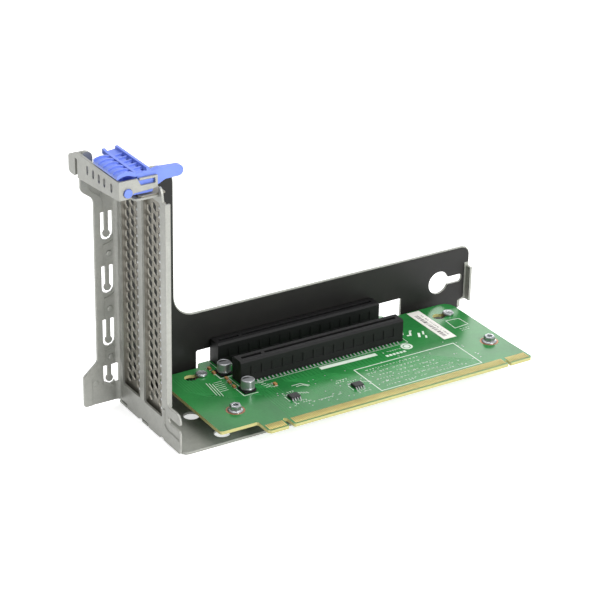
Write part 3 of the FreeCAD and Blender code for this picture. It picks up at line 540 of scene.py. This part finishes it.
label = {
    "start": 3.0, "end": 27.5, "bars": (0.35, 0.6, 0.9), "gaps": (0.35, 0.6), "barX": 2.6, "barLong": 2.0,
    "digitX": 4.9, "digitLong": 0.9, "digitShare": 0.8, "digitsKept": 0.75, "ink": 0.012,
}
prints = bmesh.new()
labelLow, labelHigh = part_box("board_label")
labelTop = labelHigh.z / mm
labelX, labelY = (labelLow.x - datum.x) / mm, (labelLow.y - datum.y) / mm
y = labelY + label["start"]
while y < labelY + label["end"]:
    wide = random.choice(label["bars"])
    addBlock(prints, labelX + label["barX"], y, label["barLong"], wide, labelTop, labelTop + label["ink"])
    if random.random() < label["digitsKept"]:
        addBlock(prints, labelX + label["digitX"], y, label["digitLong"], wide * label["digitShare"],
                 labelTop, labelTop + label["ink"])
    y += wide + random.choice(label["gaps"])
makePiece("labelPrint", prints, "ink")

# contacts under the tongue and inside the card slots
tongue = {"pitch": 1.0, "wide": 0.7, "long": 4.9, "middle": -43.85, "thick": 0.04,
          "notches": ((45.1, 48.9), (163.1, 165.6))}
contacts = bmesh.new()
contactLow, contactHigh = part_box("edge_contacts_top")
firstContact, lastContact = ((corner.x - datum.x) / mm for corner in (contactLow, contactHigh))
contactCount = round((lastContact - firstContact - tongue["wide"]) / tongue["pitch"]) + 1
for i in range(contactCount):
    x = firstContact + tongue["wide"] / 2 + i * tongue["pitch"]
    if not any(low < x < high for low, high in tongue["notches"]):
        addBlock(contacts, x, tongue["middle"], tongue["wide"], tongue["long"],
                 boardUnder - tongue["thick"], boardUnder)
makePiece("edgeContactsUnder", contacts, "gold")

cardSlot = {"first": 49.4, "pitch": 1.0, "count": 82, "key": 60.0, "keyHalf": 1.6, "apart": 0.86,
            "size": (0.45, 0.3), "depths": (7.8, 1.6)}
springs = bmesh.new()
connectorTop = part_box("slot_connector_front")[1].z / mm
springLow, springHigh = (connectorTop - depth for depth in cardSlot["depths"])
for row in connectorRows:
    for i in range(cardSlot["count"]):
        x = cardSlot["first"] + i * cardSlot["pitch"]
        if abs(x - cardSlot["key"]) < cardSlot["keyHalf"]:
            continue
        for side in (-1, 1):
            addBlock(springs, x, row + side * cardSlot["apart"], *cardSlot["size"], springLow, springHigh)
makePiece("cardContacts", springs, "gold")
print("contacts made")

# turned small parts, each profile a radius and a height over the board's top
screw = {
    "washerSides": 64, "shankSides": 24,
    "washer": [(0.0, 0.05), (3.55, 0.05), (3.55, 0.3), (3.2, 0.62), (2.6, 0.85), (0.0, 0.9)],
    "head": [(2.2, 0.8), (2.75, 0.95), (2.75, 2.45), (2.35, 2.85)],
    "crown": (1.5, 2.9), "socketHeights": (2.75, 1.7), "socket": 1.22, "lobes": 6, "lobe": 0.2, "turn": 15,
    "shank": [(0.0, -6.0), (1.4, -6.0), (1.45, -5.6), (1.45, 0.06), (0.0, 0.06)],
}


def hexagon(corner):
    side, turn = math.pi / 3, math.radians(screw["turn"])
    return lambda angle: corner * math.cos(side / 2) / math.cos((angle - turn) % side - side / 2)


def circle(radius):
    return lambda angle: radius


def lobed(angle):
    return screw["socket"] + screw["lobe"] * math.cos(screw["lobes"] * angle)


screws = bmesh.new()
headRings = [(boardTop + height, hexagon(corner)) for corner, height in screw["head"]]
headRings.append((boardTop + screw["crown"][1], circle(screw["crown"][0])))
headRings += [(boardTop + height, lobed) for height in screw["socketHeights"]]
for x, y in screwPlaces:
    addTurned(screws, x, y, screw["washer"], screw["washerSides"], boardTop)
    addCapped(screws, x, y, headRings)
    addTurned(screws, x, y, screw["shank"], screw["shankSides"], boardTop)
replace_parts(makePiece("screwsFine", screws, "plated"), "board_screws")

stud = {
    "places": ((35.6, 13.0), (169.3, 9.4)), "foot": 1.2, "footRadius": 3.1, "sides": 48,
    "under": [(3.1, -0.25), (2.9, 0.0), (1.75, 0.0)],
    "head": [(1.75, 0.18), (2.45, 0.18), (2.7, 0.4), (2.7, 0.85), (2.3, 1.3), (0.0, 1.4)],
}
thickness = boardTop - boardUnder
studProfile = [(radius, stud["foot"] - boardTop) for radius in (0.0, stud["footRadius"])]
studProfile += [(radius, height - thickness) for radius, height in stud["under"]] + stud["head"]
studs = bmesh.new()
for x, y in stud["places"]:
    addTurned(studs, x, y, studProfile, stud["sides"], boardTop)
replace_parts(makePiece("studsFine", studs, "plated"), "board_studs")

can = {
    "profile": [
        (0.0, 0.9), (2.9, 0.9), (3.1, 1.05), (3.15, 1.3), (3.15, 1.75), (2.95, 1.95), (2.95, 2.1),
        (3.15, 2.3), (3.15, 5.2), (3.08, 5.42), (2.85, 5.58), (2.55, 5.6), (2.45, 5.5), (0.0, 5.48),
    ],
    "sides": 64, "markRadius": 2.4, "markAngles": range(20, 161, 10), "markHeights": (5.48, 5.5),
}
cans = bmesh.new()
marks = bmesh.new()
for x, y in canPlaces:
    addTurned(cans, x, y, can["profile"], can["sides"], boardTop)
    arc = [(x + can["markRadius"] * math.cos(math.radians(turn)),
            y + can["markRadius"] * math.sin(math.radians(turn))) for turn in can["markAngles"]]
    addPrism(marks, arc, *(boardTop + height for height in can["markHeights"]))
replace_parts(makePiece("cansFine", cans, "can"), "capacitor_cans")
makePiece("canMarks", marks, "dark")

# lines and dimples pressed in the flange plate, and bumps on the slot covers; the cover bumps are formed in
# the cover sheet but carry the lighter tin finish as a painted highlight
press = {
    "width": 0.7, "heights": (-0.1, 0.32), "spans": ((29.8, 20.4), (55.6, 43.3), (81.2, 69.1)),
    "fromStart": ((-2.4, -0.6), (-3.6, -1.4), (-6.6, -2.2), (-7.7, -3.6)),
    "fromEnd": ((-7.7, 3.4), (-7.2, 1.4)),
    "topLine": [(-7.7, 96.4), (-7.7, 104.2), (-9.6, 107.4), (-13.2, 109.2)],
    "footLine": [(-8.6, 12.4), (-6.0, 11.0), (-3.4, 9.6)], "footWidth": 1.5, "footHeights": (-0.1, 0.3),
    "dimples": ((-11.8, 12.6, 0.0), (-4.2, 24.3, 0.4), (-4.2, 48.1, 0.4), (-4.2, 74.7, 0.4),
                (-4.2, 104.2, 0.4)),
    "dimpleSides": 32, "dimple": [(0.0, 0.16), (0.8, 0.14), (1.35, 0.0), (1.35, -0.1), (0.0, -0.1)],
}
presses = bmesh.new()
for start, end in press["spans"]:
    points = [(x, start + rise) for x, rise in press["fromStart"]]
    points += [(x, end + rise) for x, rise in press["fromEnd"]]
    addRibbon(presses, points, press["width"], *press["heights"], onPlate)
addRibbon(presses, press["topLine"], press["width"], *press["heights"], onPlate)
addRibbon(presses, press["footLine"], press["footWidth"], *press["footHeights"], onPlate)
for x, z, base in press["dimples"]:
    addTurned(presses, x, z, press["dimple"], press["dimpleSides"], base, onPlate)
makePiece("plateRibs", presses, "frame")

# bumps formed in the cover sheet; their lighter tin colour, brighter than the cover steel, is a painted
# highlight
bump = {
    "wide": 1.1, "tall": 1.4, "rise": 0.4, "tip": 0.5, "beside": 7.0, "first": 14.6, "pitch": 4.1,
    "count": 24,
}
u, v = bump["wide"] / 2, bump["tall"] / 2
bumps = bmesh.new()
for y in (bump["beside"], bump["beside"] - rowGap):
    for i in range(bump["count"]):
        z = bump["first"] + i * bump["pitch"]
        corners = [(y - u, z - v), (y + u, z - v), (y + u, z + v), (y - u, z + v)]
        tip = addPrism(bumps, corners, 0.0, bump["rise"], onCover)
        bmesh.ops.scale(bumps, verts=tip, vec=(1.0, bump["tip"], bump["tip"]),
                        space=Matrix.Translation(-onCover(y, z, bump["rise"])))
# the tin finish here is a painted highlight on the cover's own steel
makePiece("coverBumpsWithPaintedHighlight", bumps, "tin")
print("small parts made")


# floor, light and camera
white = (1.0, 1.0, 1.0, 1.0)
stage = {
    "size": 6.0, "drop": 0.0002, "color": (0.93, 0.93, 0.93, 1.0), "roughness": 0.9, "specular": 0.1,
    "glow": 0.62,
}
floorMesh = bmesh.new()
bmesh.ops.create_grid(floorMesh, x_segments=1, y_segments=1, size=stage["size"] / 2,
                      matrix=Matrix.Translation((0.0, 0.0, -stage["drop"])))
floorMaterial, floorTree, floorShader = newMaterial("paleFloor")
rays = floorTree.nodes.new("ShaderNodeLightPath").outputs
direct = calculate(floorTree, "MAXIMUM", rays["Is Camera Ray"], rays["Is Glossy Ray"])
direct = calculate(floorTree, "MAXIMUM", direct, rays["Is Transmission Ray"])
setInputs(floorTree, floorShader, {
    "Base Color": stage["color"], "Roughness": stage["roughness"], "Specular IOR Level": stage["specular"],
    "Emission Color": white, "Emission Strength": calculate(floorTree, "MULTIPLY", direct, stage["glow"]),
})
makeObject("floor", floorMesh, floorMaterial)

studio = {"brightSide": (0.55, 0.55, 0.63), "low": -0.5, "high": 0.85, "dimLevel": 0.3, "brightLevel": 0.9}
world = bpy.data.worlds.new("studio")
world.use_nodes = True
bpy.context.scene.world = world
sky = world.node_tree
direction = sky.nodes.new("ShaderNodeTexCoord").outputs["Generated"]
facing = addNode(sky, "ShaderNodeVectorMath", {0: direction, 1: studio["brightSide"]},
                 operation="DOT_PRODUCT").outputs["Value"]
level = remap(sky, facing, studio["low"], studio["high"], studio["dimLevel"], studio["brightLevel"])
around = addNode(sky, "ShaderNodeCombineColor", {"Red": level, "Green": level, "Blue": level})
rays = sky.nodes.new("ShaderNodeLightPath").outputs
plain = calculate(sky, "MAXIMUM", rays["Is Camera Ray"], rays["Is Transmission Ray"])
shown = mixColor(sky, plain, around.outputs["Color"], white)
setInputs(sky, sky.nodes["Background"], {"Color": shown, "Strength": 1.0})


def areaLight(name, place, target, size, power):
    light = bpy.data.lights.new(name, "AREA")
    light.energy = power
    light.shape = "RECTANGLE"
    light.size, light.size_y = size
    lamp = bpy.data.objects.new(name, light)
    bpy.context.scene.collection.objects.link(lamp)
    lamp.location = place
    lamp.rotation_euler = (Vector(target) - Vector(place)).to_track_quat("-Z", "Y").to_euler()
    lamp.visible_camera = False


lamps = {  # place, target, size, power
    "keyLight": ((0.35, -1.2, 0.7), (-0.03, 0, 0.06), (0.7, 0.6), 11.0),
    "fillLight": ((0.1, -1.3, 0.35), (-0.08, 0, 0.07), (0.7, 0.4), 3.0),
    "topLight": ((0.1, 0.25, 1.4), (0, 0, 0.05), (1.2, 0.8), 7.0),
    "backCard": ((1.2, 1.0, 0.5), (0.08, 0, 0.02), (0.95, 0.6), 4.4),
}
for name, settings in lamps.items():
    areaLight(name, *settings)

view = {
    "place": (-0.48432, -0.74990, 0.47156), "azimuth": -32.16, "elevation": 25.61, "roll": 1.1,
    "lens": 132.1, "sensor": 36.0, "shift": (0.00333, -0.00117), "clip": (0.05, 20.0),
}
azimuth, elevation, roll = (math.radians(view[key]) for key in ("azimuth", "elevation", "roll"))
forward = Vector((-math.sin(azimuth) * math.cos(elevation), math.cos(azimuth) * math.cos(elevation),
                  -math.sin(elevation)))
levelRight = Vector((math.cos(azimuth), math.sin(azimuth), 0.0))
right = levelRight * math.cos(roll) + levelRight.cross(forward) * math.sin(roll)
up = right.cross(forward)
cameraData = bpy.data.cameras.new("camera")
cameraData.sensor_width = view["sensor"]
cameraData.lens = view["lens"]
cameraData.shift_x, cameraData.shift_y = view["shift"]
cameraData.clip_start, cameraData.clip_end = view["clip"]
camera = bpy.data.objects.new("camera", cameraData)
bpy.context.scene.collection.objects.link(camera)
turned = Matrix((right, up, -forward)).transposed()
camera.matrix_world = Matrix.Translation(view["place"]) @ turned.to_4x4()
bpy.context.scene.camera = camera
bpy.context.scene.view_settings.view_transform = "Standard"
print("stage and camera ready")
